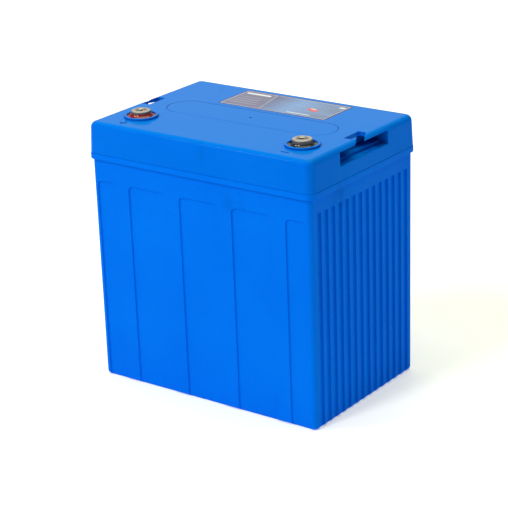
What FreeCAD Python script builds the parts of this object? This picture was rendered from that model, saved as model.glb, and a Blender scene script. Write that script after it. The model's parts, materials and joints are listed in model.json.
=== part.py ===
import FreeCAD, Part
import math
import os
from FreeCAD import Vector

# Sealed three-cell deep-cycle battery in a blue plastic case.
# Frame: X along the long face, Y from the front face to the back, Z up.
# The origin is the centre of the case's underside. All sizes are in millimetres.

# ---- case, over its rim ----
case_length = 260.0
case_width = 180.0
case_corner_r = 8.0
seam_height = 233.1           # where the lid meets the container
lid_height = 30.9             # seam to the lid's flat top
rim_height = 5.8              # thickened band round the container's mouth
rim_overhang = 2.7            # rim beyond the container wall, at the rim
rim_edge_r = 0.8

# ---- container ----
container_corner_r = 5.0
container_draft = 1.4         # each long face leans in by this much at the bottom
bottom_edge_r = 4.0
floor_thickness = 4.5
long_wall = 4.0               # from the long face at the bottom
short_wall = 5.5
cell_count = 3
partition = 3.0
cell_corner_r = 3.0

full_panels = 3               # whole recessed panels on a long face; half a panel stands at each end
panel_rib = 15.7
panel_end_margin = 5.6
panel_top = 205.5
panel_depth = 1.3
panel_corner_r = 5.0
panel_flank = 0.45            # sideways run of a panel's flank for each mm of depth

groove_count = 14
groove_end_margin = 13.45     # from the container's long face to the first groove's centre
groove_width = 6.1
groove_depth = 2.4
groove_mouth_r = 0.6
groove_root_r = 0.9
groove_top = 212.1

# ---- lid ----
lid_inset = 0.3               # lid's foot inside the rim, all round
lid_draft = 1.1
lid_top_r = 6.0
lid_foot_r = 0.5
lid_wall = 3.5
lid_roof = 4.0

grip_width = 81.5             # hand-hold pocket in each short side
grip_height = 12.9
grip_depth = 22.0
grip_roof = 4.3
grip_wall = 2.5
grip_corner_r = 0.9
grip_lip_r = 0.6
grip_step_depth = 10.0        # outer part of the pocket's floor, before its step
grip_step_rise = 3.0

slot_inner_inset = 15.9       # hooked rope slot through the pocket's roof
slot_outer_inset = 7.9
slot_near_y = -12.3
slot_far_y = 13.2
notch_near_y = -2.6
notch_skew = 2.1              # the notch runs this far towards -Y for each mm outwards
slot_corner_r = 1.2
slot_tip_r = 0.4              # tip of the tongue between the arm and the notch

# ---- vent cover, valves and flame arrestor ----
cover_end_inset = 33.5        # from the case's short side to the cover's rounded end
cover_half_width = 21.0
cover_collar_gap = 12.1       # between the cover's straight side and the terminal collars
cover_gap = 0.4
cover_thickness = 3.0
cover_edge_r = 0.3
cover_ledge = 2.5
chamber_depth = 17.0          # lid top to the valve chamber's floor
chamber_floor = 2.5
vent_hole_r = 1.3
keeper_r = 7.2                # ring under the cover that keeps a valve cap on its chimney
keeper_wall = 1.2
keeper_notch = 3.0
keeper_gap = 1.2
arrestor_thickness = 2.0
arrestor_gap = 0.05
chimney_r = 6.0
chimney_bore_r = 3.5
chimney_height = 6.5
cap_wall = 2.0
cap_roof = 2.0
cap_skirt = 5.3
cap_fit = 0.05

# ---- terminals ----
terminal_inset_x = 36.0
terminal_inset_y = 40.4
collar_r = 16.5
collar_wall = 2.5
collar_rise = 2.2
collar_edge_r = 0.6
well_depth = 10.2             # from the collar's rim to the well's floor
well_floor = 3.0
head_r = 9.7
head_rise = 4.5               # head's top above the collar's rim
head_edge_r = 0.9
stem_r = 7.1
stem_gap = 0.15
oring_r = 1.2
ring_drop = 0.9               # sealing ring's outer edge below the collar's rim
ring_climb = {"positive": 3.2, "negative": 1.9}   # how far the ring's surface climbs the head
ring_hollow = 0.9             # how far that surface hangs below a straight slope
ring_gap = 0.05
insert_r = 5.9
insert_length = 15.0
insert_proud = 0.2
thread_r = 3.4                # tap drill radius of the M8 thread
thread_length = 12.0
thread_chamfer = 0.9

mark_size = 8.0
mark_stroke = 1.7
mark_rise = 0.5
mark_offset_x = -2.2
mark_offset_y = -24.6

# ---- label ----
label_length = 125.7
label_cover_gap = 5.7         # from the cover's straight side to the label
label_thickness = 0.25
label_corner_r = 1.2
label_centre_x = 3.5
label_back_inset = 11.8

# ---- plates, separators and straps ----
positives_per_cell = 9
positive_thickness = 2.6
negative_thickness = 2.0
stack_gap = 0.7
plate_side_gap = 6.0
plate_foot = 4.0
head_space = 33.0             # plate tops below the seam
mat_side_gap = 2.5
mat_above_plate = 3.0
lug_width = 12.0
lug_height = 12.0
strap_width = 18.0
strap_height = 8.0
tab_thickness = 5.0
tab_height = 12.0
weld_r = 5.0
weld_gap = 0.1
weld_drop = 6.0               # weld's centre below the tab's top
crossbar_width = 14.0
crossbar_height = 6.0
crossbar_lift = 4.0

end_flat = 0.001              # a round end keeps this much straight side, so that no edge has zero length

# ---- places worked out from the sizes above ----
half_length = case_length / 2
half_width = case_width / 2
lid_top = seam_height + lid_height
body_length = case_length - 2 * rim_overhang
body_width = case_width - 2 * rim_overhang
foot_width = body_width - 2 * container_draft
cells_length = body_length - 2 * short_wall
cell_length = (cells_length - (cell_count - 1) * partition) / cell_count
cell_width = foot_width - 2 * long_wall
cell_pitch = cell_length + partition
cell_centres = [(i - (cell_count - 1) / 2) * cell_pitch for i in range(cell_count)]
partition_centres = [(a + b) / 2 for a, b in zip(cell_centres, cell_centres[1:])]

lid_ceiling = lid_top - lid_roof
grip_ceiling = lid_top - grip_roof
grip_floor = grip_ceiling - grip_height
chamber_bottom = lid_top - chamber_depth

terminal_x = half_length - terminal_inset_x
terminal_y = terminal_inset_y - half_width
collar_top = lid_top + collar_rise
well_bottom = collar_top - well_depth
well_r = collar_r - collar_wall
head_top = collar_top + head_rise
head_bottom = well_bottom + 2 * oring_r

cover_half_length = half_length - cover_end_inset
cover_bottom = lid_top - cover_thickness
cover_y = terminal_y + collar_r + cover_collar_gap + cover_half_width
label_front = cover_y + cover_half_width + label_cover_gap
label_back = half_width - label_back_inset

plate_bottom = floor_thickness + plate_foot
plate_top = seam_height - head_space
plate_width = cell_width - 2 * plate_side_gap
strap_bottom = plate_top + lug_height
strap_top = strap_bottom + strap_height
tab_top = strap_top + tab_height
weld_z = tab_top - weld_drop
negatives_per_cell = positives_per_cell + 1
plates_thickness = positives_per_cell * positive_thickness + negatives_per_cell * negative_thickness
mat_thickness = (cell_length - 2 * stack_gap - plates_thickness) / (2 * positives_per_cell)
stack_pitch = positive_thickness + negative_thickness + 2 * mat_thickness
strap_length = cell_length - 2 * stack_gap - 2 * mat_thickness
crossbar_bottom = strap_top + crossbar_lift
crossbar_top = crossbar_bottom + crossbar_height


# ---- shape helpers ----
def box(x0, x1, y0, y1, z0, z1):
    return Part.makeBox(x1 - x0, y1 - y0, z1 - z0, Vector(x0, y0, z0))


def cylinder(radius, x, y, z0, z1):
    return Part.makeCylinder(radius, z1 - z0, Vector(x, y, z0))


def rounded_rectangle(length, width, radius, z):
    """Closed wire of a rounded rectangle about the Z axis."""
    a, b = length / 2 - radius, width / 2 - radius
    edges = []
    for quarter, (sx, sy) in enumerate(((1, 1), (-1, 1), (-1, -1), (1, -1))):
        centre = Vector(sx * a, sy * b, z)
        start = quarter * math.pi / 2
        arc_points = [centre + Vector(radius * math.cos(t), radius * math.sin(t), 0)
                      for t in (start, start + math.pi / 4, start + math.pi / 2)]
        edges.append(Part.Arc(*arc_points).toShape())
    sides = []
    for arc, following in zip(edges, edges[1:] + edges[:1]):
        sides += [arc, Part.makeLine(arc.Vertexes[-1].Point, following.Vertexes[0].Point)]
    return Part.Wire(sides)


def prism(length, width, radius, z0, z1):
    """Upright rounded block about the Z axis."""
    face = Part.Face(rounded_rectangle(length, width, radius, z0))
    return face.extrude(Vector(0, 0, z1 - z0))


def stadium(half, radius, y, z0, z1):
    """Upright block with round ends, its middle at y: half is half its length along X."""
    block = prism(2 * half, 2 * radius, radius - end_flat, z0, z1)
    block.translate(Vector(0, y, 0))
    return block


def tapered(lower, upper):
    """Block between two rounded rectangles, each (length, width, radius, z)."""
    return Part.makeLoft([rounded_rectangle(*lower), rounded_rectangle(*upper)], True, True)


def turned(profile, x, y):
    """Solid of revolution about the upright line through (x, y); profile is (radius, z) points."""
    points = [Vector(x + r, y, z) for r, z in profile]
    face = Part.Face(Part.makePolygon(points + points[:1]))
    return face.revolve(Vector(x, y, 0), Vector(0, 0, 1), 360)


def edges_at_height(shape, z):
    return [e for e in shape.Edges if abs(e.BoundBox.ZMin - z) < 0.01 and abs(e.BoundBox.ZMax - z) < 0.01]


def rounded_at(shape, z, radius, reach=None):
    """Rounds the level edges at height z, or only those within reach = (x, y, distance)."""
    edges = edges_at_height(shape, z)
    if reach:
        x, y, distance = reach
        edges = [e for e in edges if math.hypot(e.BoundBox.Center.x - x, e.BoundBox.Center.y - y) < distance]
    return shape.makeFillet(radius, edges)


def fused(shapes):
    return shapes[0].multiFuse(shapes[1:]).removeSplitter()


def mirrored(shape):
    return shape.mirror(Vector(0, 0, 0), Vector(1, 0, 0))


def both_ends(shape):
    return [shape, mirrored(shape)]


def save(name, shape):
    solids = shape.Solids
    assert solids and shape.isValid(), name
    kept = solids[0] if len(solids) == 1 else Part.makeCompound(solids)
    kept.exportStep("parts/" + name + ".step")
    print(f"{name}: {len(solids)} solid(s), {sum(s.Volume for s in solids) / 1000:.2f} cm3")


# ---- container ----
def container_block(inset):
    """The container's outside below the rim, with its long faces moved in by inset."""
    lower = (body_length, foot_width - 2 * inset, container_corner_r, 0)
    upper = (body_length, body_width - 2 * inset, container_corner_r, seam_height - rim_height / 2)
    return rounded_at(tapered(lower, upper), 0, bottom_edge_r)


def panel_tool(x0, x1, side):
    """Cutter for one recessed panel on the front (side -1) or back (side 1), before its floor is kept."""
    reach = 3.0
    face_y = (body_width + foot_width) / 4
    wires = []
    for out in (reach, -reach):
        grow = panel_flank * out
        y = side * (face_y + out)
        left, right, top = x0 - grow, x1 + grow, panel_top + grow
        r = panel_corner_r + grow
        bend = r * (1 - math.sqrt(0.5))
        foot = -bottom_edge_r
        corners = [Vector(left, y, foot), Vector(left, y, top - r), Vector(left + r, y, top),
                   Vector(right - r, y, top), Vector(right, y, top - r), Vector(right, y, foot)]
        wires.append(Part.Wire([
            Part.makeLine(corners[0], corners[1]),
            Part.Arc(corners[1], Vector(left + bend, y, top - bend), corners[2]).toShape(),
            Part.makeLine(corners[2], corners[3]),
            Part.Arc(corners[3], Vector(right - bend, y, top - bend), corners[4]).toShape(),
            Part.makeLine(corners[4], corners[5]),
            Part.makeLine(corners[5], corners[0])]))
    return Part.makeLoft(wires, True, True)


def panel_spans():
    """X spans of the panels on a long face: half a panel at each end, whole ones between."""
    start = panel_end_margin - body_length / 2
    pitch = -2 * start / (full_panels + 1)
    width = pitch - panel_rib
    spans = [(start, start + width / 2)]
    for i in range(full_panels):
        x0 = start + width / 2 + panel_rib + i * pitch
        spans.append((x0, x0 + width))
    spans.append((-start - width / 2, -start))
    return spans


def groove_tool(y):
    """Cutter for one upright groove in the right-hand short face, with rounded mouth and root."""
    x = body_length / 2
    half, mouth, root = groove_width / 2, groove_mouth_r, groove_root_r
    bend_mouth, bend_root = mouth * (1 - math.sqrt(0.5)), root * (1 - math.sqrt(0.5))

    def at(depth, across):
        return Vector(x - depth, y + across, -1)

    edges = []
    for s in (-1, 1):
        edge_point, mouth_end = at(0, s * (half + mouth)), at(mouth, s * half)
        root_start, root_end = at(groove_depth - root, s * half), at(groove_depth, s * (half - root))
        edges += [
            Part.makeLine(at(-1, s * (half + mouth)), edge_point),
            Part.Arc(edge_point, at(bend_mouth, s * (half + bend_mouth)), mouth_end).toShape(),
            Part.Arc(root_start, at(groove_depth - bend_root, s * (half - bend_root)), root_end).toShape()]
        if groove_depth - root - mouth > 0.001:
            edges.append(Part.makeLine(mouth_end, root_start))
    edges.append(Part.makeLine(at(groove_depth, root - half), at(groove_depth, half - root)))
    edges.append(Part.makeLine(at(-1, -half - mouth), at(-1, half + mouth)))
    outline = Part.Wire(Part.__sortEdges__(edges))
    return Part.Face(outline).extrude(Vector(0, 0, groove_top + 1))


def make_container():
    rim = prism(case_length, case_width, case_corner_r, seam_height - rim_height, seam_height)
    rim = rounded_at(rim, seam_height - rim_height, rim_edge_r)
    rim = rounded_at(rim, seam_height, lid_foot_r)
    spans = panel_spans()
    panels = Part.makeCompound([panel_tool(x0, x1, side) for x0, x1 in spans for side in (-1, 1)])
    panels = panels.cut(container_block(panel_depth))
    groove_pitch = (body_width - 2 * groove_end_margin) / (groove_count - 1)
    grooves = [groove_tool((i - (groove_count - 1) / 2) * groove_pitch) for i in range(groove_count)]
    block = container_block(0).cut(panels)
    block = block.cut(Part.makeCompound(grooves + [mirrored(g) for g in grooves]))
    cells = []
    for x in cell_centres:
        cell = prism(cell_length, cell_width, cell_corner_r, floor_thickness, seam_height + 1)
        cell.translate(Vector(x, 0, 0))
        cells.append(cell)
    shell = fused([block, rim]).cut(Part.makeCompound(cells))
    windows = []
    for i, x in enumerate(partition_centres):
        hole = Part.makeCylinder(weld_r + weld_gap, 2 * partition,
                                 Vector(x - partition, link_side(i) * -terminal_y, weld_z), Vector(1, 0, 0))
        windows.append(hole)
    return shell.cut(Part.makeCompound(windows))


def link_side(partition_index):
    """Side (-1 front, 1 back) on which the cells either side of a partition are joined."""
    return 1 if partition_index % 2 == 0 else -1


# ---- lid ----
def slot_tool():
    """Cutter for the right-hand rope slot: an arm along Y and a skewed notch out through the lid's edge."""
    inner, outer = half_length - slot_inner_inset, half_length - slot_outer_inset
    past = half_length + rim_overhang
    run = notch_skew * (past - outer)
    corners = [(inner, slot_near_y), (outer, slot_near_y), (outer, notch_near_y), (past, notch_near_y - run),
               (past, slot_far_y - run), (outer, slot_far_y), (inner, slot_far_y)]
    points = [Vector(x, y, grip_ceiling - grip_height / 4) for x, y in corners]
    tool = Part.Face(Part.makePolygon(points + points[:1])).extrude(Vector(0, 0, grip_roof + grip_height / 2))
    upright = [e for e in tool.Edges if e.BoundBox.ZLength > 1 and e.BoundBox.Center.x < half_length - 1]
    tips = [e for e in upright if abs(e.BoundBox.Center.y - notch_near_y) < 0.01]
    tool = tool.makeFillet(slot_tip_r, tips)
    upright = [e for e in tool.Edges if e.BoundBox.ZLength > 1
               and any(math.hypot(e.BoundBox.Center.x - x, e.BoundBox.Center.y - y) < 0.01
                       for x, y in corners[:2] + corners[5:])]
    return tool.makeFillet(slot_corner_r, upright)


def grip_tool():
    """Cutter for the right-hand hand-hold pocket, whose floor steps up towards the back."""
    back = half_length - grip_depth
    step = half_length - grip_step_depth
    mouth = half_length + rim_overhang
    hw = grip_width / 2
    outer = box(step, mouth, -hw, hw, grip_floor, grip_ceiling)
    inner = box(back, step, -hw, hw, grip_floor + grip_step_rise, grip_ceiling)
    tool = fused([outer, inner])
    lengthwise = [e for e in tool.Edges if e.BoundBox.XLength > 1 and e.BoundBox.YLength < 0.01]
    return tool.makeFillet(grip_corner_r, lengthwise)


def keeper_places():
    return [(x, cover_y) for x in cell_centres]


def lid_outside():
    foot = (case_length - 2 * lid_inset, case_width - 2 * lid_inset, case_corner_r - lid_inset, seam_height)
    shrink = lid_inset + lid_draft
    crown = (case_length - 2 * shrink, case_width - 2 * shrink, case_corner_r - lid_inset, lid_top)
    block = rounded_at(tapered(foot, crown), lid_top, lid_top_r)
    return rounded_at(block, seam_height, lid_foot_r)


def terminal_places():
    return [("positive", -terminal_x), ("negative", terminal_x)]


def lid_inside():
    """Walls that stand inside the lid: ribs over the partitions, pocket and chamber housings."""
    walls = []
    for x in partition_centres:
        walls.append(box(x - partition / 2, x + partition / 2, lid_wall - half_width, half_width - lid_wall,
                         seam_height, lid_top - 1))
    back = half_length - grip_depth - grip_wall
    reach = grip_width / 2 + grip_wall
    walls += both_ends(box(back, half_length - lid_wall, -reach, reach, grip_floor - grip_wall, lid_top - 1))
    walls.append(stadium(cover_half_length, cover_half_width, cover_y,
                         chamber_bottom - chamber_floor, lid_top - 1))
    return walls


def terminal_sleeves():
    """Solid sleeves from under the terminal wells up to the collars' rims, before the wells are cut."""
    foot = well_bottom - well_floor
    return [cylinder(collar_r, x, terminal_y, foot, collar_top) for _, x in terminal_places()]


def polarity_marks():
    """A raised plus beside the positive terminal and a raised minus beside the negative one."""
    marks = []
    for name, x in terminal_places():
        cx, cy = x + mark_offset_x, terminal_y + mark_offset_y
        long_half, short_half = mark_size / 2, mark_stroke / 2
        marks.append(box(cx - long_half, cx + long_half, cy - short_half, cy + short_half,
                         lid_top - 1, lid_top + mark_rise))
        if name == "positive":
            marks.append(box(cx - short_half, cx + short_half, cy - long_half, cy + long_half,
                             lid_top - 1, lid_top + mark_rise))
    return marks


def make_lid():
    inner_foot = (case_length - 2 * lid_inset - 2 * lid_wall, case_width - 2 * lid_inset - 2 * lid_wall)
    hollow = prism(inner_foot[0] - 2 * lid_draft, inner_foot[1] - 2 * lid_draft, case_corner_r - lid_wall,
                   seam_height - 1, lid_ceiling)
    outside = lid_outside()
    shell = outside.cut(hollow)
    walls = [wall.common(outside) for wall in lid_inside()]
    chimneys = [cylinder(chimney_r, x, y, chamber_bottom - 1, chamber_bottom + chimney_height)
                for x, y in keeper_places()]
    lid = fused([shell] + walls + terminal_sleeves())
    chamber_r = cover_half_width - cover_ledge
    cuts = [stadium(cover_half_length, cover_half_width, cover_y, cover_bottom, lid_top + 1),
            stadium(cover_half_length - cover_ledge, chamber_r, cover_y, chamber_bottom, cover_bottom + 1)]
    cuts += both_ends(grip_tool())
    for _, x in terminal_places():
        cuts.append(cylinder(well_r, x, terminal_y, well_bottom, collar_top + 1))
        cuts.append(cylinder(stem_r + stem_gap, x, terminal_y, seam_height, lid_top))
    lid = rounded_at(lid.cut(Part.makeCompound(cuts)), collar_top, collar_edge_r)
    lips = [e for e in lid.Edges if min(abs(v.X) for v in e.Vertexes) > half_length - 3
            and grip_floor - 1 < e.BoundBox.ZMin and e.BoundBox.ZMax < grip_ceiling + 0.01]
    lid = lid.makeFillet(grip_lip_r, lips)
    lid = lid.cut(Part.makeCompound(both_ends(slot_tool())))
    lid = fused([lid] + chimneys + polarity_marks())
    bores = [cylinder(chimney_bore_r, x, y, seam_height, lid_top) for x, y in keeper_places()]
    return lid.cut(Part.makeCompound(bores))


# ---- vent cover, valve caps and flame arrestor ----
def make_vent_cover():
    plate = stadium(cover_half_length - cover_gap, cover_half_width - cover_gap, cover_y,
                    cover_bottom, lid_top)
    plate = rounded_at(plate, lid_top, cover_edge_r)
    cap_top = chamber_bottom + chimney_height + cap_fit + cap_roof
    keepers, notches = [], []
    for x, y in keeper_places():
        ring = cylinder(keeper_r, x, y, cap_top + keeper_gap, cover_bottom + 1)
        keepers.append(ring.cut(cylinder(keeper_r - keeper_wall, x, y, cap_top, cover_bottom)))
        half = keeper_notch / 2
        notches.append(box(x - keeper_r, x + keeper_r, y - half, y + half,
                           cap_top, cover_bottom - arrestor_thickness))
    cover = fused([plate] + keepers)
    vent = cylinder(vent_hole_r, 0, cover_y, cover_bottom - 1, lid_top + 1)
    return cover.cut(Part.makeCompound(notches + [vent]))


def make_flame_arrestor():
    return cylinder(keeper_r - keeper_wall - arrestor_gap, 0, cover_y,
                    cover_bottom - arrestor_thickness, cover_bottom - arrestor_gap)


def make_valve_cap(x, y):
    """Rubber cap over one chimney: it lifts off its seat to let gas out."""
    inner = chimney_r + cap_fit
    seat = chamber_bottom + chimney_height + cap_fit
    bottom = seat - cap_skirt
    return turned([(0, seat), (inner, seat), (inner, bottom), (inner + cap_wall, bottom),
                   (inner + cap_wall, seat + cap_roof), (0, seat + cap_roof)], x, y)


# ---- terminals ----
def make_terminal_post(x, foot):
    """Lead-alloy head and stem, bored for the threaded insert; foot is where it meets its strap."""
    head = cylinder(head_r, x, terminal_y, head_bottom, head_top)
    head = rounded_at(head, head_top, head_edge_r)
    post = fused([head, cylinder(stem_r, x, terminal_y, foot, head_bottom)])
    return post.cut(cylinder(insert_r, x, terminal_y, head_top + insert_proud - insert_length, head_top + 1))


def make_terminal_insert(x):
    """Brass insert with a blind threaded hole, drawn at the tap drill's size, open at the top."""
    top = head_top + insert_proud
    mouth = thread_r + thread_chamfer
    return turned([(0, top - insert_length), (insert_r, top - insert_length), (insert_r, top), (mouth, top),
                   (thread_r, top - thread_chamfer), (thread_r, top - thread_chamfer - thread_length),
                   (0, top - thread_chamfer - thread_length)], x, terminal_y)


def make_oring(x):
    return Part.makeTorus(stem_r + oring_r, oring_r, Vector(x, terminal_y, well_bottom + oring_r))


def make_sealing_ring(x, climb):
    """Epoxy poured between the head and the collar, its hollow surface climbing the head."""
    inner, outer = head_r + ring_gap, well_r - ring_gap
    low = collar_top - ring_drop
    slope = math.hypot(outer - inner, climb)
    hollow_x = (inner + outer) / 2 - ring_hollow * climb / slope
    hollow_z = low + climb / 2 - ring_hollow * (outer - inner) / slope
    y = terminal_y
    surface = Part.Arc(Vector(x + inner, y, low + climb), Vector(x + hollow_x, y, hollow_z),
                       Vector(x + outer, y, low))
    outline = [surface.toShape(),
               Part.makeLine(Vector(x + outer, y, low), Vector(x + outer, y, well_bottom)),
               Part.makeLine(Vector(x + outer, y, well_bottom), Vector(x + inner, y, well_bottom)),
               Part.makeLine(Vector(x + inner, y, well_bottom), Vector(x + inner, y, low + climb))]
    return Part.Face(Part.Wire(outline)).revolve(Vector(x, y, 0), Vector(0, 0, 1), 360)


# ---- label ----
def make_label():
    label = prism(label_length, label_back - label_front, label_corner_r, lid_top, lid_top + label_thickness)
    label.translate(Vector(label_centre_x, (label_front + label_back) / 2, 0))
    return label


# ---- cells ----
def positive_side(cell):
    """Side (-1 front, 1 back) of a cell's positive strap; the negative strap stands on the other side."""
    return -1 if cell % 2 == 0 else 1


def plate(x0, x1, lug_side):
    """One plate with its lug."""
    half = plate_width / 2
    lug_y = lug_side * -terminal_y
    grid = box(x0, x1, -half, half, plate_bottom, plate_top)
    lug = box(x0, x1, lug_y - lug_width / 2, lug_y + lug_width / 2, plate_top, strap_bottom)
    return grid.fuse(lug).removeSplitter()


def stack_start(cell):
    return cell_centres[cell] - cell_length / 2 + stack_gap


def make_positive_plates(cell):
    first = stack_start(cell) + negative_thickness + mat_thickness
    starts = [first + i * stack_pitch for i in range(positives_per_cell)]
    return Part.makeCompound([plate(x, x + positive_thickness, positive_side(cell)) for x in starts])


def make_negative_plates(cell):
    starts = [stack_start(cell) + i * stack_pitch for i in range(negatives_per_cell)]
    return Part.makeCompound([plate(x, x + negative_thickness, -positive_side(cell)) for x in starts])


def make_separators(cell):
    """Glass mats, each folded under and up both faces of one positive plate."""
    half = cell_width / 2 - mat_side_gap
    wraps = []
    for i in range(positives_per_cell):
        x0 = stack_start(cell) + negative_thickness + i * stack_pitch
        x1 = x0 + positive_thickness + 2 * mat_thickness
        mat = box(x0, x1, -half, half, plate_bottom - mat_thickness, plate_top + mat_above_plate)
        core = box(x0 + mat_thickness, x1 - mat_thickness, -half - 1, half + 1,
                   plate_bottom, plate_top + mat_above_plate + 1)
        wraps.append(mat.cut(core))
    return Part.makeCompound(wraps)


def strap(cell, side, tabs):
    """Cast strap over one group's lugs, with an upright tab beside each partition named in tabs."""
    cx, cy = cell_centres[cell], side * -terminal_y
    pieces = [box(cx - strap_length / 2, cx + strap_length / 2, cy - strap_width / 2, cy + strap_width / 2,
                  strap_bottom, strap_top)]
    for end in tabs:
        face = cx + end * cell_length / 2
        xs = sorted((face - end * stack_gap, face - end * (stack_gap + mat_thickness + tab_thickness)))
        pieces.append(box(xs[0], xs[1], cy - strap_width / 2, cy + strap_width / 2, strap_bottom, tab_top))
    return pieces


def make_positive_strap(cell):
    pieces = strap(cell, positive_side(cell), [-1] if cell > 0 else [])
    return fused(pieces) if len(pieces) > 1 else pieces[0]


def make_negative_strap(cell):
    side = -positive_side(cell)
    last = cell == cell_count - 1
    pieces = strap(cell, side, [] if last else [1])
    if last:
        half = crossbar_width / 2
        back_y = side * -terminal_y
        far, near = back_y + side * strap_width / 2, terminal_y - half
        pieces.append(box(terminal_x - half, terminal_x + half, min(far, near), max(far, near),
                          crossbar_bottom, crossbar_top))
        pieces.append(box(terminal_x - half, terminal_x + half, back_y - strap_width / 2,
                          back_y + strap_width / 2, strap_bottom, crossbar_top))
    return fused(pieces)


def make_intercell_weld(i):
    """Lead slug through one partition, between the tabs of the cells on its two sides."""
    reach = partition / 2 + stack_gap
    start = Vector(partition_centres[i] - reach, link_side(i) * -terminal_y, weld_z)
    return Part.makeCylinder(weld_r, 2 * reach, start, Vector(1, 0, 0))


os.makedirs("parts", exist_ok=True)
save("container", make_container())
save("lid", make_lid())
save("vent_cover", make_vent_cover())
save("flame_arrestor", make_flame_arrestor())
save("label", make_label())
for i, (x, y) in enumerate(keeper_places()):
    save(f"relief_valve_{i + 1}", make_valve_cap(x, y))
for (name, x), foot in zip(terminal_places(), (strap_top, crossbar_top)):
    save("terminal_post_" + name, make_terminal_post(x, foot))
    save("terminal_insert_" + name, make_terminal_insert(x))
    save("terminal_oring_" + name, make_oring(x))
    save("sealing_ring_" + name, make_sealing_ring(x, ring_climb[name]))
for cell in range(cell_count):
    save(f"positive_plates_{cell + 1}", make_positive_plates(cell))
    save(f"negative_plates_{cell + 1}", make_negative_plates(cell))
    save(f"separators_{cell + 1}", make_separators(cell))
    save(f"positive_strap_{cell + 1}", make_positive_strap(cell))
    save(f"negative_strap_{cell + 1}", make_negative_strap(cell))
for i in range(cell_count - 1):
    save(f"intercell_weld_{i + 1}", make_intercell_weld(i))
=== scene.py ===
"""Sealed deep-cycle battery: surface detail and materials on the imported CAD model, in a pale studio."""
import bmesh
import bpy
import json
import math
from mathutils import Matrix, Vector, noise


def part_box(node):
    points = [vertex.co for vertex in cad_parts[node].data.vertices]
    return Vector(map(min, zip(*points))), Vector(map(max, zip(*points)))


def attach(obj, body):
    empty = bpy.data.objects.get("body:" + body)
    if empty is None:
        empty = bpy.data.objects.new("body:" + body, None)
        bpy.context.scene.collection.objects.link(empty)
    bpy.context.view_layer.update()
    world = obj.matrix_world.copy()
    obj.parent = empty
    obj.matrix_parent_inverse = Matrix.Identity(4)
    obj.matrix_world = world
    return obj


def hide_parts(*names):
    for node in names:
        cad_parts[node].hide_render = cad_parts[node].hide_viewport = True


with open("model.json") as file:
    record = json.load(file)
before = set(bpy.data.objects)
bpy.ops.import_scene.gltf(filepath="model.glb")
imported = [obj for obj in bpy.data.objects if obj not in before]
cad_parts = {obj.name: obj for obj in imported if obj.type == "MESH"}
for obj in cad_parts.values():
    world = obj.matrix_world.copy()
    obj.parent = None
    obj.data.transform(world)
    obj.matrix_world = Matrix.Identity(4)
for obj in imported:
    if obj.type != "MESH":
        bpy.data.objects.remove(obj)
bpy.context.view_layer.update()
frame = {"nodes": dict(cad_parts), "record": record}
nodes = frame["nodes"]
MM = 0.001                     # in metres
TURN = 2 * math.pi             # a full turn in radians

# ---- camera: where it stands, how it is turned, and its lens ----
CAMERA_PLACE = Vector((1.01298, -1.37389, 0.75937))
CAMERA_AZIMUTH = math.radians(36.438)
CAMERA_DOWN = math.radians(20.451)
CAMERA_ROLL = math.radians(-1.886)
CAMERA_LENS = 130.56
CAMERA_FAR = 100               # metres


def make_camera():
    """Camera at CAMERA_PLACE: it looks along CAMERA_AZIMUTH and down by CAMERA_DOWN.

    CAMERA_ROLL turns it about its line of sight.
    """
    azimuth, down = CAMERA_AZIMUTH, CAMERA_DOWN
    level = math.cos(down)
    forward = Vector((-math.sin(azimuth) * level, math.cos(azimuth) * level, -math.sin(down)))
    right = Vector((math.cos(azimuth), math.sin(azimuth), 0))
    up = right.cross(forward)
    c, s = math.cos(CAMERA_ROLL), math.sin(CAMERA_ROLL)
    right, up = right * c + up * s, up * c - right * s
    data = bpy.data.cameras.new("camera")
    data.lens = CAMERA_LENS
    data.clip_end = CAMERA_FAR
    camera = bpy.data.objects.new("camera", data)
    axes = Matrix((right, up, -forward)).transposed()
    camera.matrix_world = Matrix.Translation(CAMERA_PLACE) @ axes.to_4x4()
    bpy.context.scene.collection.objects.link(camera)
    bpy.context.scene.camera = camera


# ---- materials ----
MIX_FIRST, MIX_SECOND, MIX_RESULT = 6, 7, 2     # colour sockets of the mix node, by index
LEVEL_FROM, LEVEL_TO = 0.55, 0.97               # normal's Z where a surface starts and ends to count as level
OPENNESS_SAMPLES = 8
BEVEL_SAMPLES = 6
HOLLOW_REACH = 16 * MM                          # surfaces nearer than this make a place a hollow
SIDE_GLOSS, TOP_GLOSS = 0.01, 0.06              # specular level of plastic: upright, and level in the open
PLASTIC_TINT = (0.35, 0.75, 1.0)                # tint of the plastic's highlights
FILM_GLOSS = 0.15                               # specular level of the label's films


def scaled(colour, factor):
    return tuple(factor * v for v in colour)


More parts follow.
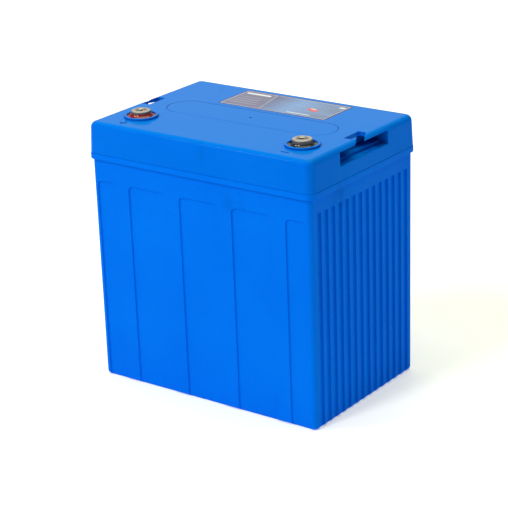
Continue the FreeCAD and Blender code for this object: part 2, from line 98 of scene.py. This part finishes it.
class Finish:
    """A node material under construction: each helper adds nodes and returns their output socket."""

    def __init__(self, name):
        self.material = bpy.data.materials.new(name)
        self.material.use_nodes = True
        self.tree = self.material.node_tree
        self.shader = self.tree.nodes["Principled BSDF"]
        self.place = self.add("ShaderNodeTexCoord").outputs["Object"]

    def add(self, kind, **values):
        node = self.tree.nodes.new(kind)
        for key, value in values.items():
            setattr(node, key, value)
        return node

    def put(self, value, socket):
        """Puts a number, a colour or another node's output on a socket."""
        if isinstance(value, bpy.types.NodeSocket):
            self.tree.links.new(value, socket)
        elif isinstance(value, tuple) and socket.type == "RGBA":
            socket.default_value = (*value, 1)
        else:
            socket.default_value = value

    def set(self, **values):
        """Sets the shader's inputs, named with _ for each space."""
        for key, value in values.items():
            self.put(value, self.shader.inputs[key.replace("_", " ")])

    def stretched(self, x, y, z):
        node = self.add("ShaderNodeVectorMath", operation="MULTIPLY")
        self.put(self.place, node.inputs[0])
        node.inputs[1].default_value = (x, y, z)
        return node.outputs[0]

    def noise(self, scale, detail, place=None):
        """Noise with features about 1 / scale metres across."""
        node = self.add("ShaderNodeTexNoise")
        self.put(place or self.place, node.inputs["Vector"])
        node.inputs["Scale"].default_value = scale
        node.inputs["Detail"].default_value = detail
        return node.outputs["Fac"]

    def cells(self, scale):
        node = self.add("ShaderNodeTexVoronoi")
        self.put(self.place, node.inputs["Vector"])
        node.inputs["Scale"].default_value = scale
        return node.outputs["Distance"]

    def ramp(self, value, low, high, out_low=0.0, out_high=1.0):
        node = self.add("ShaderNodeMapRange")
        for key, number in (("Value", value), ("From Min", low), ("From Max", high),
                            ("To Min", out_low), ("To Max", out_high)):
            self.put(number, node.inputs[key])
        return node.outputs["Result"]

    def mix(self, factor, first, second):
        node = self.add("ShaderNodeMix", data_type="RGBA")
        self.put(factor, node.inputs["Factor"])
        self.put(first, node.inputs[MIX_FIRST])
        self.put(second, node.inputs[MIX_SECOND])
        return node.outputs[MIX_RESULT]

    def math(self, operation, first, second):
        node = self.add("ShaderNodeMath", operation=operation)
        self.put(first, node.inputs[0])
        self.put(second, node.inputs[1])
        return node.outputs[0]

    def axis(self, name):
        node = self.add("ShaderNodeSeparateXYZ")
        self.put(self.place, node.inputs[0])
        return node.outputs[name]

    def facing_up(self):
        """1 on level surfaces, falling to 0 on upright ones."""
        node = self.add("ShaderNodeSeparateXYZ")
        self.put(self.add("ShaderNodeNewGeometry").outputs["Normal"], node.inputs[0])
        return self.ramp(node.outputs["Z"], LEVEL_FROM, LEVEL_TO)

    def openness(self, distance):
        """1 in the open, falling towards 0 where other surfaces stand within distance."""
        node = self.add("ShaderNodeAmbientOcclusion", samples=OPENNESS_SAMPLES)
        node.inputs["Distance"].default_value = distance
        return node.outputs["AO"]

    def near(self, centre, radius):
        """1 at centre, falling to 0 at radius metres from it."""
        node = self.add("ShaderNodeVectorMath", operation="DISTANCE")
        self.put(self.place, node.inputs[0])
        node.inputs[1].default_value = centre
        return self.ramp(node.outputs["Value"], 0.0, radius, 1.0, 0.0)

    def bump(self, height, distance, strength, normal=None):
        node = self.add("ShaderNodeBump")
        self.put(height, node.inputs["Height"])
        node.inputs["Distance"].default_value = distance
        node.inputs["Strength"].default_value = strength
        if normal:
            self.put(normal, node.inputs["Normal"])
        return node.outputs["Normal"]


def moulded_plastic(name, deep, light, roughness, grain, scuffs, painted_top_light=None, soft_edge=0.0):
    """Moulded blue plastic with an eroded grain, slow colour drift, faint sink marks and a few scuffs.

    With a lighter top colour given, open level surfaces go towards it as painted top light and shine, and
    hollows are darkened as painted shade.
    grain is the grain's height; scuffs holds (place, radius) pairs; soft_edge rounds the look of sharp edges.
    """
    f = Finish(name)
    drift = f.ramp(f.noise(11, 3), 0.35, 0.65)
    speck = f.ramp(f.noise(750, 2), 0.3, 0.7)
    colour = f.mix(drift, deep, light)
    gloss = SIDE_GLOSS
    if painted_top_light:
        openness = f.openness(HOLLOW_REACH)
        # painted top light mask: level faces in the open, held back beside raised parts as a painted
        # reflection of them
        level = f.math("MULTIPLY", f.facing_up(), f.ramp(openness, 0.5, 0.92))
        colour = f.mix(f.math("MULTIPLY", level, 0.85), colour, painted_top_light)
        # painted shade: hollows darkened towards a fifth of the deep colour
        colour = f.mix(f.ramp(openness, 0.15, 0.75, 0.8, 0.0), colour, scaled(deep, 0.2))
        gloss = f.ramp(level, 0.0, 1.0, SIDE_GLOSS, TOP_GLOSS)
    colour = f.mix(f.math("MULTIPLY", speck, 0.35), colour, scaled(deep, 0.86))
    rough = f.ramp(f.noise(260, 4), 0.3, 0.7, roughness - 0.04, roughness + 0.06)
    for place, radius in scuffs:
        streaks = f.ramp(f.noise(90, 4, f.stretched(1, 1, 0.35)), 0.45, 0.62)
        worn = f.math("MULTIPLY", f.near(place, radius), streaks)
        colour = f.mix(f.math("MULTIPLY", worn, 0.45), colour, scaled(deep, 0.55))
        rough = f.math("ADD", rough, f.math("MULTIPLY", worn, 0.2))
    edge = None
    if soft_edge:
        bevel = f.add("ShaderNodeBevel", samples=BEVEL_SAMPLES)
        bevel.inputs["Radius"].default_value = soft_edge
        edge = bevel.outputs["Normal"]
    sinks = f.bump(f.noise(16, 2), 0.0010, 0.25, edge)
    f.set(Base_Color=colour, Roughness=rough, Normal=f.bump(f.noise(1500, 3), grain, 0.45, sinks))
    f.set(Specular_IOR_Level=gloss, Specular_Tint=PLASTIC_TINT)
    return f.material


def cast_lead(name, light, dark, roughness=0.5, painted_side_shade=1.0):
    """Dull cast lead: blotchy oxide, fine pits and drag lines; a side factor below 1 darkens its upright
    faces as painted shade, leaving level tops lighter.
    """
    f = Finish(name)
    blotch = f.ramp(f.noise(330, 5), 0.35, 0.65)
    pits = f.ramp(f.cells(1400), 0.0, 0.3)
    colour = f.mix(blotch, dark, light)
    colour = f.mix(f.math("MULTIPLY", f.math("SUBTRACT", 1.0, pits), 0.35), colour, scaled(dark, 0.5))
    if painted_side_shade < 1:
        # painted shade: upright faces go towards the darkened colour, level tops keep the lit one
        colour = f.mix(f.facing_up(), scaled(dark, painted_side_shade), colour)
    f.set(Base_Color=colour, Metallic=0.55)
    f.set(Roughness=f.ramp(f.noise(500, 3), 0.3, 0.7, roughness - 0.1, roughness + 0.12))
    f.set(Normal=f.bump(pits, 0.0001, 0.4, f.bump(f.noise(420, 4), 0.0003, 0.5)))
    return f.material


def turned_metal(name, light, dark):
    """Machined, dulled metal with fine turning lines round the upright axis."""
    f = Finish(name)
    lines = f.noise(60, 2, f.stretched(1, 1, 120))
    stain = f.ramp(f.noise(500, 4), 0.35, 0.7)
    f.set(Base_Color=f.mix(stain, light, dark), Metallic=0.9)
    f.set(Roughness=f.ramp(stain, 0.0, 1.0, 0.26, 0.46), Normal=f.bump(lines, 0.00004, 0.5))
    return f.material


def poured_epoxy(name, colour, deep):
    """Glossy poured resin with slight waves and a few specks under its skin."""
    f = Finish(name)
    specks = f.ramp(f.cells(900), 0.04, 0.1, 1.0, 0.0)
    body = f.mix(f.ramp(f.noise(180, 3), 0.35, 0.65), deep, colour)
    f.set(Base_Color=f.mix(f.math("MULTIPLY", specks, 0.3), body, scaled(colour, 1.6)))
    f.set(Roughness=f.ramp(f.noise(300, 2), 0.3, 0.7, 0.06, 0.13))
    f.set(Normal=f.bump(f.noise(240, 1), 0.0001, 0.4), Coat_Weight=0.3, Coat_Roughness=0.04)
    return f.material


def rubber(name):
    """Black rubber with a faint grey bloom."""
    f = Finish(name)
    bloom = f.ramp(f.noise(240, 4), 0.45, 0.75)
    f.set(Base_Color=f.mix(bloom, (0.012, 0.012, 0.013), (0.045, 0.045, 0.05)))
    f.set(Roughness=f.ramp(f.noise(700, 3), 0.3, 0.7, 0.52, 0.7))
    f.set(Normal=f.bump(f.noise(1600, 2), 0.00006, 0.5))
    return f.material


def porous_plastic(name):
    """Sintered beads pressed into a disc."""
    f = Finish(name)
    beads = f.cells(1900)
    f.set(Base_Color=f.mix(f.ramp(beads, 0.2, 0.7), (0.78, 0.77, 0.72), (0.42, 0.41, 0.38)))
    f.set(Roughness=f.ramp(beads, 0.0, 0.7, 0.7, 0.9), Normal=f.bump(beads, -0.0003, 0.8))
    return f.material


def pasted_plate(name, light, dark):
    """Active paste pressed into a grid whose wires show faintly through it."""
    f = Finish(name)
    paste = f.ramp(f.noise(300, 5), 0.3, 0.7)
    rise = f.add("ShaderNodeTexWave", wave_type="BANDS", bands_direction="Z")
    rise.inputs["Scale"].default_value = 45
    across = f.add("ShaderNodeTexWave", wave_type="BANDS", bands_direction="Y")
    across.inputs["Scale"].default_value = 30
    for wave in (rise, across):
        f.put(f.place, wave.inputs["Vector"])
    wires = f.ramp(f.math("MAXIMUM", rise.outputs["Fac"], across.outputs["Fac"]), 0.92, 1.0)
    f.set(Base_Color=f.mix(f.math("MULTIPLY", wires, 0.5), f.mix(paste, dark, light), (0.2, 0.2, 0.21)))
    f.set(Roughness=f.ramp(paste, 0.0, 1.0, 0.72, 0.9))
    f.set(Normal=f.bump(wires, 0.0002, 0.5, f.bump(f.noise(900, 3), 0.0002, 0.5)))
    return f.material


def glass_mat(name):
    """Felted white glass fibre."""
    f = Finish(name)
    fibres = f.noise(120, 5, f.stretched(1, 9, 2))
    crossing = f.noise(120, 5, f.stretched(1, 2, 9))
    felt = f.math("MULTIPLY", f.math("ADD", fibres, crossing), 0.5)
    f.set(Base_Color=f.mix(f.ramp(felt, 0.35, 0.65), (0.66, 0.66, 0.62), (0.86, 0.86, 0.83)))
    f.set(Roughness=f.ramp(felt, 0.3, 0.7, 0.85, 0.95), Normal=f.bump(felt, 0.0004, 0.7), Sheen_Weight=0.2)
    return f.material


def printed_film(name, first, second, roughness=0.3):
    """Printed label film: brushed grain along X under a satin varnish."""
    f = Finish(name)
    brushed = f.noise(140, 4, f.stretched(0.25, 5, 1))
    f.set(Base_Color=f.mix(f.ramp(brushed, 0.3, 0.7), first, second))
    f.set(Roughness=f.ramp(f.noise(400, 3), 0.3, 0.7, roughness - 0.05, roughness + 0.08))
    f.set(Normal=f.bump(brushed, 0.00002, 0.3), Specular_IOR_Level=FILM_GLOSS)
    return f.material


def picture_film(name, x_left, x_right, left, middle, right):
    """Soft picture with faint cloud: along X its colour goes from left over middle to right."""
    f = Finish(name)
    along = f.ramp(f.axis("X"), x_left, x_right)
    cloud = f.ramp(f.noise(28, 1, f.stretched(0.5, 2.2, 1)), 0.4, 0.68)
    sky = f.mix(f.ramp(along, 0.45, 0.85), f.mix(f.ramp(along, 0.0, 0.4), left, middle), right)
    f.set(Base_Color=f.mix(f.math("MULTIPLY", cloud, 0.25), sky, scaled(middle, 1.3)))
    f.set(Roughness=f.ramp(f.noise(400, 3), 0.3, 0.7, 0.24, 0.34), Specular_IOR_Level=FILM_GLOSS)
    return f.material


# ---- meshes ----
def piece(name, points, faces, finish, slot, smooth=None, replaces=()):
    """Makes a closed mesh a piece of the case: it rides there with finish as its material; slot is not used.

    smooth is the angle in degrees below which neighbouring faces shade as one surface.
    """
    mesh = bpy.data.meshes.new(name)
    mesh.from_pydata(points, [], faces)
    tidy = bmesh.new()
    tidy.from_mesh(mesh)
    bmesh.ops.recalc_face_normals(tidy, faces=tidy.faces)
    tidy.to_mesh(mesh)
    tidy.free()
    mesh.materials.append(finish)
    if smooth:
        mesh.shade_smooth()
        mesh.set_sharp_from_angle(angle=math.radians(smooth))
    made = bpy.data.objects.new(name, mesh)
    bpy.context.scene.collection.objects.link(made)
    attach(made, "case")
    if replaces:
        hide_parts(*replaces)


def prism(outline, z0, z1):
    """Points and faces of an upright prism over an outline."""
    n = len(outline)
    points = [(x, y, z) for z in (z0, z1) for x, y in outline]
    sides = [(i, (i + 1) % n, n + (i + 1) % n, n + i) for i in range(n)]
    return points, [tuple(range(n))[::-1], tuple(range(n, 2 * n))] + sides


def arc(cx, cy, radius, start, end, steps):
    return [(cx + radius * math.cos(t), cy + radius * math.sin(t))
            for t in (start + (end - start) * i / steps for i in range(steps + 1))]


def rounded_outline(x0, x1, y0, y1, radius, steps=6):
    centres = ((x1 - radius, y1 - radius), (x0 + radius, y1 - radius),
               (x0 + radius, y0 + radius), (x1 - radius, y0 + radius))
    return [p for quarter, (cx, cy) in enumerate(centres)
            for p in arc(cx, cy, radius, quarter * TURN / 4, (quarter + 1) * TURN / 4, steps)]


def turned_surface(profile, centre, segments, warp=None):
    """Points and faces of a closed solid of revolution; profile runs from axis to axis as (radius, z).

    warp(radius, angle, z) may give each point its own radius and z.
    """
    points, rings = [], []
    for radius, z in profile:
        ring = []
        for i in range(segments if radius else 1):
            angle = TURN * i / segments
            r, height = warp(radius, angle, z) if warp else (radius, z)
            ring.append(len(points))
            points.append((centre.x + r * math.cos(angle), centre.y + r * math.sin(angle), height))
        rings.append(ring)
    faces = []
    for low, high in zip(rings, rings[1:]):
        for i in range(segments):
            j = (i + 1) % segments
            corners = (low[i % len(low)], low[j % len(low)], high[j % len(high)], high[i % len(high)])
            faces.append(tuple(dict.fromkeys(corners)))
    return points, faces


# ---- terminals ----
POST_SEGMENTS = 96
HEAD_EDGE = 1.1 * MM
RIM_STEPS, SIDE_STEPS, FACE_STEPS = 6, 8, 4     # points along the head's outline
CAST_MARGIN = 0.2 * MM         # round the insert, where the casting stays true
CAST_WAVES = 2.2               # how finely the cast skin wanders round the head
CAST_WAVE_HEIGHT = 4 * MM      # and up it
CAST_SIDE, CAST_FACE = 0.12, 0.10               # how far the skin wanders, in mm
NOTCH_HALF = math.radians(5)
NOTCH_REACH = 2.5 * MM         # down from the head's face
NOTCH_SIDE, NOTCH_FACE = 0.9, 0.5               # how far the notch bites, in mm
THREAD_PITCH = 1.25 * MM       # M8 coarse
THREAD_DEPTH = 0.55 * MM
STEPS_PER_PITCH = 8
INSERT_CHAMFER = 0.9 * MM
INSERT_LIP = 0.25 * MM


def make_terminal(polarity, lead, metal, notch_angle):
    """Cast lead post with a rounded, slightly rough head, and its threaded insert."""
    low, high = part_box("terminal_post_" + polarity)
    insert_low, insert_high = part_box("terminal_insert_" + polarity)
    oring_low, oring_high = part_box("terminal_oring_" + polarity)
    centre = (low + high) / 2
    head_r, insert_r = (high.x - low.x) / 2, (insert_high.x - insert_low.x) / 2
    oring_r = (oring_high.z - oring_low.z) / 2
    stem_r = (oring_high.x - oring_low.x) / 2 - 2 * oring_r
    head_bottom = oring_high.z

    def rough(radius, angle, z):
        """Cast skin: the head's outside wanders a little, and a gate mark nicks its rim."""
        if radius < insert_r + CAST_MARGIN or z < head_bottom:
            return radius, z
        wander = abs(noise.noise(Vector((math.cos(angle) * CAST_WAVES, math.sin(angle) * CAST_WAVES,
                                         z / CAST_WAVE_HEIGHT + centre.x))))
        off = (angle - notch_angle + math.pi) % TURN - math.pi
        nick = max(0.0, 1 - abs(off) / NOTCH_HALF) if z > high.z - NOTCH_REACH else 0.0
        outside = (radius - insert_r) / (head_r - insert_r)
        return (radius - outside * (wander * CAST_SIDE + nick * NOTCH_SIDE) * MM,
                z - (wander * CAST_FACE + nick * outside * NOTCH_FACE) * MM)

    flat_r, side_top = head_r - HEAD_EDGE, high.z - HEAD_EDGE
    side = [(head_r, head_bottom + (side_top - head_bottom) * i / SIDE_STEPS) for i in range(SIDE_STEPS)]
    rim = arc(flat_r, side_top, HEAD_EDGE, 0, TURN / 4, RIM_STEPS)
    face = [(insert_r + (flat_r - insert_r) * (1 - i / FACE_STEPS), high.z) for i in range(1, FACE_STEPS)]
    profile = [(0, low.z), (stem_r, low.z), (stem_r, head_bottom)] + side + rim + face
    profile += [(insert_r, high.z), (insert_r, insert_low.z), (0, insert_low.z)]
    cast = turned_surface(profile, centre, POST_SEGMENTS, rough)
    piece("terminal_post_" + polarity + "_cast", *cast, lead, "lead_alloy", 40, ["terminal_post_" + polarity])

    mount = next(m for m in frame["record"]["mounts"] if m["name"] == "terminal_thread_" + polarity)
    thread_r, thread_length = mount["dims"]["r_mm"] * MM, mount["dims"]["length_mm"] * MM
    thread_top = insert_high.z - INSERT_CHAMFER

    def helical(radius, angle, z):
        """The bore's wall follows the thread, fading in at the mouth and out at the root."""
        if radius != thread_r or not thread_top - thread_length < z < thread_top:
            return radius, z
        phase = ((z / THREAD_PITCH) - angle / TURN) % 1
        fade = min(1.0, (thread_top - z) / THREAD_PITCH, (z - thread_top + thread_length) / THREAD_PITCH)
        return radius + THREAD_DEPTH * fade * (1 - abs(2 * phase - 1)), z

    rows = round(thread_length / THREAD_PITCH * STEPS_PER_PITCH)
    profile = [(0, insert_low.z), (insert_r - INSERT_LIP, insert_low.z),
               (insert_r, insert_low.z + INSERT_LIP), (insert_r, insert_high.z - INSERT_LIP),
               (insert_r - INSERT_LIP, insert_high.z),
               (thread_r + INSERT_CHAMFER, insert_high.z)]
    profile += [(thread_r, thread_top - thread_length * i / rows) for i in range(rows + 1)]
    profile.append((0, thread_top - thread_length))
    threaded = turned_surface(profile, centre, POST_SEGMENTS, helical)
    piece("terminal_insert_" + polarity + "_threaded", *threaded, metal, "brass", 30,
          ["terminal_insert_" + polarity])


# ---- label ----
LABEL_OUTLINE = 1.5 * MM       # dark edge line
LABEL_BORDER = 1.5 * MM        # silver line inside it
LABEL_RADIUS = 1.2 * MM
LABEL_DIVIDER = 0.9 * MM
LABEL_LAYERS = 6
FIELD_RADIUS = 0.5 * MM
DIVIDER_BACK, DIVIDER_FRONT = 0.305, 0.375      # shares of the length where the divider meets back and front
PICTURE_GAP = 0.004                             # share of the length between the picture and the border
ACCENT_TILT = math.radians(-20)
ELLIPSE_STEPS = 40
BAR_ROUNDING, BAR_STEPS = 0.6, 4                # a bar's corner radius as a share of its half width
RULES = 4


def make_label(films):
    """Printed label as stacked films: backing, silver border, grey field, slanted picture and plain marks."""
    low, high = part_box("label")
    length, width = high.x - low.x, high.y - low.y
    top_step = (high.z - low.z) / LABEL_LAYERS

    def film(name, outline, layer, finish, replaces=()):
        """One printed layer; layer counts the steps of its top above the lid."""
        points, faces = prism(outline, low.z, low.z + layer * top_step)
        piece("label_" + name, points, faces, films[finish], "label_film", None, replaces)

    def at(u, v):
        """Place at shares u of the length from the left and v of the width from the back."""
        return low.x + u * length, high.y - v * width

    def inset(by, radius):
        return rounded_outline(low.x + by, high.x - by, low.y + by, high.y - by, radius)

    field = LABEL_OUTLINE + LABEL_BORDER
    film("backing", inset(0, LABEL_RADIUS), 1, "outline", ["label"])
    film("border", inset(LABEL_OUTLINE, LABEL_RADIUS - LABEL_OUTLINE / 2), 2, "silver")
    film("field", inset(field, FIELD_RADIUS), 3, "grey")

    u_in, v_in = field / length, field / width
    slant = DIVIDER_FRONT - DIVIDER_BACK
    lean = LABEL_DIVIDER / length
    line = [at(DIVIDER_BACK, v_in), at(DIVIDER_BACK + slant, 1 - v_in),
            at(DIVIDER_BACK + slant + lean, 1 - v_in), at(DIVIDER_BACK + lean, v_in)]
    film("divider", line, 4, "silver")
    picture_end = 1 - u_in - PICTURE_GAP
    picture = [at(DIVIDER_BACK + lean, v_in), at(DIVIDER_FRONT + lean, 1 - v_in),
               at(picture_end, 1 - v_in), at(picture_end, v_in)]
    film("picture", picture, 4, "picture")

    def ellipse(u, v, half_x, half_y, tilt=0.0):
        cx, cy = at(u, v)
        c, s = math.cos(tilt), math.sin(tilt)
        angles = [TURN * i / ELLIPSE_STEPS for i in range(ELLIPSE_STEPS)]
        upright = [(half_x * math.cos(t), half_y * math.sin(t)) for t in angles]
        return [(cx + x * c - y * s, cy + x * s + y * c) for x, y in upright]

    def bar(u0, u1, v, half):
        x0, y = at(u0, v)
        x1, _ = at(u1, v)
        return rounded_outline(x0, x1, y - half, y + half, half * BAR_ROUNDING, BAR_STEPS)

    accent = ellipse(u=0.775, v=0.55, half_x=7.6 * MM, half_y=3.8 * MM, tilt=ACCENT_TILT)
    film("accent", accent, 5, "accent")
    glow = ellipse(u=0.769, v=0.50, half_x=4.2 * MM, half_y=1.8 * MM, tilt=ACCENT_TILT)
    film("accent_glow", glow, 6, "glow")
    film("badge", ellipse(u=0.945, v=0.17, half_x=3.6 * MM, half_y=2.2 * MM), 5, "pale")
    film("header_bar", bar(u0=0.045, u1=0.275, v=0.17, half=2.1 * MM), 5, "pale")
    for row in range(RULES):
        rule = bar(u0=0.05, u1=0.25 + 0.02 * row, v=0.40 + 0.13 * row, half=0.45 * MM)
        film(f"rule_{row + 1}", rule, 5, "rule")
    film("footer_bar", bar(u0=0.62, u1=0.83, v=0.87, half=0.8 * MM), 5, "pale")


# ---- studio ----
FLOOR_HALF = 15                                 # metres
LIGHT_AIM = Vector((0, 0, 0.15))
WORLD_COLOUR, WORLD_STRENGTH = (0.9, 0.95, 1.0, 1), 0.28


def area_light(name, place, size, power, colour=(1, 1, 1)):
    data = bpy.data.lights.new(name, "AREA")
    data.shape = "RECTANGLE"
    data.size, data.size_y = size
    data.energy = power
    data.color = colour
    light = bpy.data.objects.new(name, data)
    light.location = place
    light.rotation_euler = (LIGHT_AIM - Vector(place)).to_track_quat("-Z", "Y").to_euler()
    bpy.context.scene.collection.objects.link(light)


def make_studio():
    """White floor, two keys in front, a wide light overhead, a weak panel behind and a dim sky."""
    corners = [(FLOOR_HALF * x, FLOOR_HALF * y, 0) for x, y in ((-1, -1), (1, -1), (1, 1), (-1, 1))]
    mesh = bpy.data.meshes.new("floor")
    mesh.from_pydata(corners, [], [(0, 1, 2, 3)])
    floor = bpy.data.objects.new("floor", mesh)
    bpy.context.scene.collection.objects.link(floor)
    paper = Finish("floor_paper")
    paper.set(Base_Color=paper.mix(paper.noise(30, 2), (0.93, 0.93, 0.93), (0.95, 0.95, 0.95)))
    paper.set(Roughness=0.9, Emission_Color=(1, 1, 1), Emission_Strength=0.26, Specular_IOR_Level=0.1)
    mesh.materials.append(paper.material)
    area_light("key_left", place=(-1.95, -1.9, 2.55), size=(0.55, 0.55), power=33)
    area_light("key_right", place=(-0.45, -2.6, 2.55), size=(0.55, 0.55), power=41)
    area_light("top", place=(0.1, 0.6, 4.2), size=(4.5, 4.5), power=134, colour=(1.0, 1.0, 0.62))
    area_light("back_panel", place=(-2.3, 3.1, 1.65), size=(3.6, 2.2), power=8)
    world = bpy.data.worlds.new("studio")
    world.use_nodes = True
    background = world.node_tree.nodes["Background"]
    background.inputs["Color"].default_value = WORLD_COLOUR
    background.inputs["Strength"].default_value = WORLD_STRENGTH
    bpy.context.scene.world = world
    bpy.context.scene.view_settings.view_transform = "Standard"


# ---- putting it together ----
def paint(material, *names):
    """Gives carried-over CAD nodes their finish."""
    for name in names:
        nodes[name].material_slots[0].material = material


make_camera()
make_studio()

lid_low, lid_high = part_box("lid")
label_low, label_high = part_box("label")
label_length = label_high.x - label_low.x
seam = lid_low.z
flat_top = label_low.z
lid_scuffs = [((12 * MM, lid_low.y, flat_top - 10 * MM), 14 * MM),
              ((lid_low.x + 48 * MM, lid_high.y - 22 * MM, flat_top), 9 * MM)]
case_scuffs = [((40 * MM, lid_low.y, seam - 22 * MM), 18 * MM),
               ((lid_high.x, lid_low.y + 52 * MM, seam - 14 * MM), 22 * MM)]
case_blue = moulded_plastic("case_blue", deep=(0.0, 0.145, 0.78), light=(0.0, 0.160, 0.81),
                            roughness=0.40, grain=0.08 * MM, scuffs=case_scuffs)
# lid_blue paints top light on its open level faces and shade in its hollows
lid_blue = moulded_plastic("lid_blue", deep=(0.0, 0.14, 0.73), light=(0.001, 0.155, 0.75),
                           roughness=0.07, grain=0.02 * MM, scuffs=lid_scuffs,
                           painted_top_light=(0.0, 0.205, 0.80), soft_edge=0.5 * MM)
paint(case_blue, "container")
paint(lid_blue, "lid", "vent_cover")

# post_lead paints its head sides darker as shade
post_lead = cast_lead("post_lead", (0.58, 0.54, 0.54), (0.43, 0.40, 0.39), painted_side_shade=0.4)
strap_lead = cast_lead("strap_lead", (0.40, 0.40, 0.41), (0.24, 0.24, 0.25), roughness=0.42)
insert_metal = turned_metal("insert_metal", (0.52, 0.47, 0.44), (0.30, 0.26, 0.23))
make_terminal("positive", post_lead, insert_metal, notch_angle=math.radians(240))
make_terminal("negative", post_lead, insert_metal, notch_angle=math.radians(100))
paint(poured_epoxy("red_epoxy", (0.27, 0.003, 0.004), (0.17, 0.001, 0.002)), "sealing_ring_positive")
paint(poured_epoxy("black_epoxy", (0.010, 0.010, 0.012), (0.004, 0.004, 0.005)), "sealing_ring_negative")

cells = range(1, 1 + sum(name.startswith("separators_") for name in nodes))
paint(rubber("black_rubber"), "terminal_oring_positive", "terminal_oring_negative",
      *(f"relief_valve_{i}" for i in cells))
paint(porous_plastic("porous_plastic"), "flame_arrestor")
paint(pasted_plate("positive_paste", (0.11, 0.055, 0.035), (0.06, 0.03, 0.02)),
      *(f"positive_plates_{i}" for i in cells))
paint(pasted_plate("negative_paste", (0.36, 0.37, 0.38), (0.22, 0.23, 0.24)),
      *(f"negative_plates_{i}" for i in cells))
paint(glass_mat("glass_mat"), *(f"separators_{i}" for i in cells))
paint(strap_lead, *(name for name in nodes if "_strap_" in name or name.startswith("intercell_weld_")))

make_label({
    "outline": printed_film("label_outline", (0.06, 0.04, 0.13), (0.09, 0.06, 0.17)),
    "silver": printed_film("label_silver", (0.42, 0.42, 0.58), (0.50, 0.50, 0.66), roughness=0.34),
    "grey": printed_film("label_grey", (0.18, 0.18, 0.31), (0.25, 0.24, 0.39), roughness=0.36),
    "picture": picture_film("label_picture", label_low.x + DIVIDER_BACK * label_length, label_high.x,
                            (0.15, 0.14, 0.25), (0.22, 0.35, 0.68), (0.19, 0.25, 0.42)),
    "accent": printed_film("label_accent", (0.62, 0.12, 0.14), (0.74, 0.20, 0.22)),
    "glow": printed_film("label_glow", (0.85, 0.42, 0.42), (0.92, 0.52, 0.50)),
    "pale": printed_film("label_pale", (0.72, 0.74, 0.78), (0.82, 0.83, 0.86)),
    "rule": printed_film("label_rule", (0.42, 0.43, 0.50), (0.48, 0.49, 0.56)),
})
